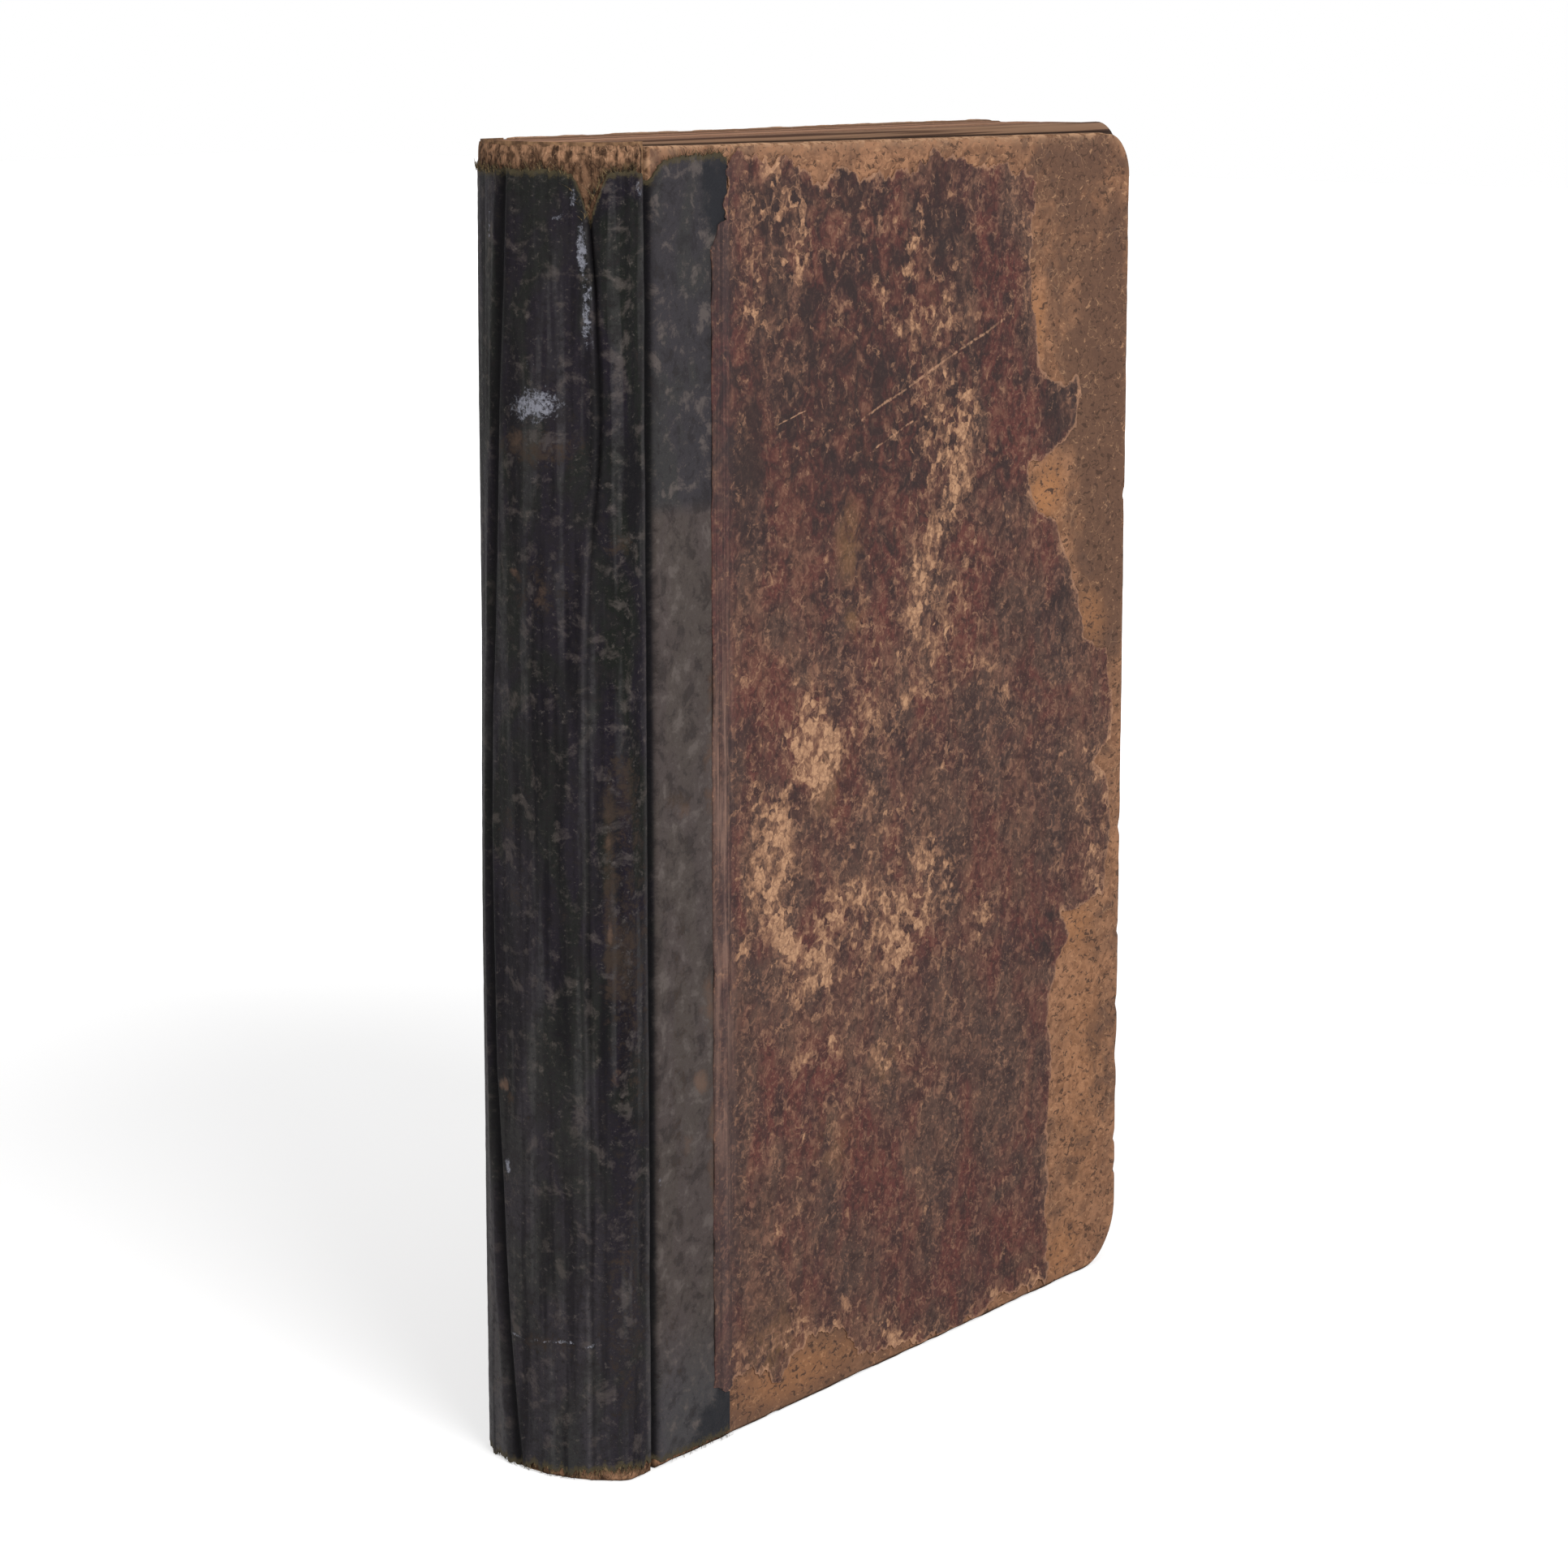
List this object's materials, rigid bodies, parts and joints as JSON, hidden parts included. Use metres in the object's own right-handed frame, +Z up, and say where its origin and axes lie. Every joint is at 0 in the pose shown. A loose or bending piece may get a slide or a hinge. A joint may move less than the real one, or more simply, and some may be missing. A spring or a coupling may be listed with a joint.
{
  "type": "quarter-bound journal",
  "caption": "Old worn hardback journal, quarter bound: black cloth spine, torn brown paper sides over bare millboard, rounded corners, covers that open.",
  "frame": {"origin": "middle of the book's footprint, on the surface it stands on", "axes": "+Z up from tail to head, +X from the spine to the fore-edge, -Y out of the front cover"},
  "size_m": [0.2151, 0.0428, 0.302],
  "materials": {
    "pages": "matt aged paper, seen on its cut edges",
    "endpaper": "matt aged paper",
    "tape": "plain woven linen tape",
    "mull": "open-weave cotton, glued down",
    "lining_paper": "matt brown paper, frayed at the head and tail",
    "book_cloth": "black filled book cloth, worn and cracked",
    "millboard": "bare tan millboard, speckled and rubbed",
    "side_paper": "dark maroon-brown paper, scuffed through to tan"
  },
  "bodies": {
    "book_block": {"text_block": "pages", "front_flyleaf": "endpaper", "back_flyleaf": "endpaper", "sewing_tapes": "tape", "spine_mull": "mull", "spine_lining": "lining_paper", "spine_cloth": "book_cloth"},
    "front_cover": {"front_board": "millboard", "front_lap_cloth": "book_cloth", "front_side_paper": "side_paper", "front_pastedown": "endpaper"},
    "back_cover": {"back_board": "millboard", "back_lap_cloth": "book_cloth", "back_side_paper": "side_paper", "back_pastedown": "endpaper"}
  },
  "joints": [
    {"name": "front_cover_hinge", "type": "hinge", "parent": "book_block", "child": "front_cover", "pos_m": [-0.09045, -0.0214, 0.151], "axis": [0, 0, -1], "range_deg": [0, 175]},
    {"name": "back_cover_hinge", "type": "hinge", "parent": "book_block", "child": "back_cover", "pos_m": [-0.09045, 0.0214, 0.151], "axis": [0, 0, 1], "range_deg": [0, 175]}
  ]
}
